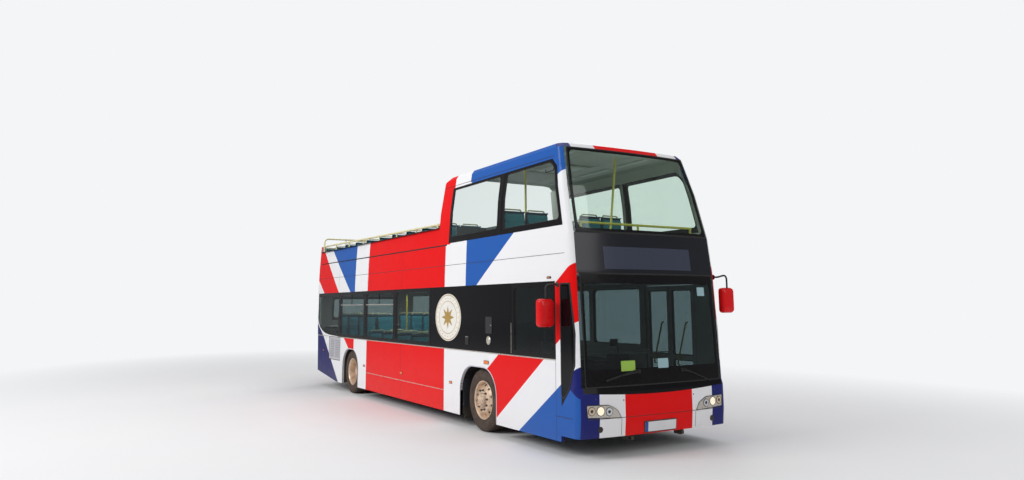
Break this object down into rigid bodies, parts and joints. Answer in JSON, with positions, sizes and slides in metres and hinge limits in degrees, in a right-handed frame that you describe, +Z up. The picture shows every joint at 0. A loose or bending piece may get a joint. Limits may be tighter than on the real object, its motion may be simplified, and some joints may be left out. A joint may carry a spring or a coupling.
{
  "type": "open-top double-decker bus",
  "caption": "Open-top double-decker bus with a roofed front section, raked screens, inward-opening door, steered front wheels and twin rear wheels.",
  "frame": {"origin": "on the ground, midway along and across the bus", "axes": "+X to the front of the bus, +Y to its left (kerb side, with the passenger door), +Z up"},
  "size_m": [11.4498, 3.124, 4.1699],
  "materials": {
    "black_glass": "gloss",
    "black_plastic": "satin",
    "black_rubber": "matte",
    "cab_grey": "matte",
    "chassis_black": "satin, dusty",
    "clear_glass": "clear",
    "engine_iron": "rough",
    "floor_vinyl": "matte",
    "grille_black": "matte",
    "handrail_cream": "satin",
    "lamp_red": "gloss",
    "lamp_silver": "gloss",
    "livery_paint": "gloss",
    "mirror_red": "gloss",
    "pole_yellow": "gloss",
    "seat_moquette": "woven",
    "tinted_glass": "tinted",
    "tyre": "dusty",
    "wheel_steel": "satin, dusty"
  },
  "bodies": {
    "bus_body": {"chassis_frame": "chassis_black", "cross_members": "chassis_black", "destination_panel": "black_glass", "driver_cab": "cab_grey", "driver_seat": "seat_moquette", "engine_block": "engine_iron", "front_axle_beam": "chassis_black", "front_bumper": "livery_paint", "front_shell": "livery_paint", "glass_lower": "tinted_glass", "glass_upper": "clear_glass", "handrails": "handrail_cream", "headlamps": "lamp_silver", "lower_floor": "floor_vinyl", "lower_poles": "pole_yellow", "lower_seats": "seat_moquette", "mirrors": "mirror_red", "mudflaps": "black_rubber", "raised_floor": "floor_vinyl", "rear_axle": "chassis_black", "rear_lamps": "lamp_red", "rear_shell": "livery_paint", "roof_front": "livery_paint", "screen_rail": "pole_yellow", "side_grilles": "grille_black", "side_lower_left": "livery_paint", "side_lower_right": "livery_paint", "side_upper_left": "livery_paint", "side_upper_right": "livery_paint", "stair_guard": "cab_grey", "staircase": "floor_vinyl", "upper_floor": "floor_vinyl", "upper_poles": "pole_yellow", "upper_seats": "seat_moquette", "wheel_boxes": "cab_grey", "windscreens": "clear_glass", "wipers": "black_plastic"},
    "knuckle_right": {"knuckle_right": "chassis_black"},
    "knuckle_left": {"knuckle_left": "chassis_black"},
    "front_wheel_right": {"front_tyre_right": "tyre", "front_rim_right": "wheel_steel"},
    "front_wheel_left": {"front_tyre_left": "tyre", "front_rim_left": "wheel_steel"},
    "rear_wheels_right": {"rear_tyres_right": "tyre", "rear_rims_right": "wheel_steel"},
    "rear_wheels_left": {"rear_tyres_left": "tyre", "rear_rims_left": "wheel_steel"},
    "track_rod": {"track_rod": "chassis_black"},
    "door_rear_leaf": {"door_leaf_rear": "livery_paint", "door_glass_rear": "tinted_glass"},
    "door_front_leaf": {"door_leaf_front": "livery_paint", "door_glass_front": "tinted_glass"},
    "engine_door": {"engine_door": "livery_paint"},
    "steering_wheel": {"steering_wheel": "black_plastic"}
  },
  "joints": [
    {"name": "steer_left", "type": "hinge", "parent": "bus_body", "child": "knuckle_left", "pos_m": [3.025, 0.88, 0.468], "axis": [0, 0, 1], "range_deg": [-40, 40]},
    {"name": "steer_right", "type": "hinge", "parent": "bus_body", "child": "knuckle_right", "pos_m": [3.025, -0.88, 0.468], "axis": [0, 0, 1], "range_deg": [-40, 40]},
    {"name": "track_rod_pivot", "type": "hinge", "parent": "knuckle_left", "child": "track_rod", "pos_m": [2.825, 0.88, 0.2], "axis": [0, 0, 1], "range_deg": [-40, 40]},
    {"name": "steering_wheel_turn", "type": "hinge", "parent": "bus_body", "child": "steering_wheel", "pos_m": [4.985, -0.76, 1.06], "axis": [-0.5, 0, 0.866], "range_deg": [-720, 720]},
    {"name": "front_wheel_left_spin", "type": "hinge", "parent": "knuckle_left", "child": "front_wheel_left", "pos_m": [3.025, 1.067, 0.468], "axis": [0, 1, 0], "continuous": true},
    {"name": "front_wheel_right_spin", "type": "hinge", "parent": "knuckle_right", "child": "front_wheel_right", "pos_m": [3.025, -1.067, 0.468], "axis": [0, 1, 0], "continuous": true},
    {"name": "rear_wheels_left_spin", "type": "hinge", "parent": "bus_body", "child": "rear_wheels_left", "pos_m": [-3.075, 1.067, 0.468], "axis": [0, 1, 0], "continuous": true},
    {"name": "rear_wheels_right_spin", "type": "hinge", "parent": "bus_body", "child": "rear_wheels_right", "pos_m": [-3.075, -1.067, 0.468], "axis": [0, 1, 0], "continuous": true},
    {"name": "door_rear_swing", "type": "hinge", "parent": "bus_body", "child": "door_rear_leaf", "pos_m": [4.071, 1.245, 1.25], "axis": [0, 0, -1], "range_deg": [0, 90]},
    {"name": "door_front_swing", "type": "hinge", "parent": "bus_body", "child": "door_front_leaf", "pos_m": [5.139, 1.245, 1.25], "axis": [0, 0, 1], "range_deg": [0, 90]},
    {"name": "engine_door_lift", "type": "hinge", "parent": "bus_body", "child": "engine_door", "pos_m": [-5.657, 0, 1.39], "axis": [0, 1, 0], "range_deg": [0, 75]}
  ],
  "couplings": [
    {"joint": "steer_right", "follows": "steer_left", "ratio": 1},
    {"joint": "track_rod_pivot", "follows": "steer_left", "ratio": -1},
    {"joint": "steering_wheel_turn", "follows": "steer_left", "ratio": 18},
    {"joint": "door_front_swing", "follows": "door_rear_swing", "ratio": 1}
  ]
}
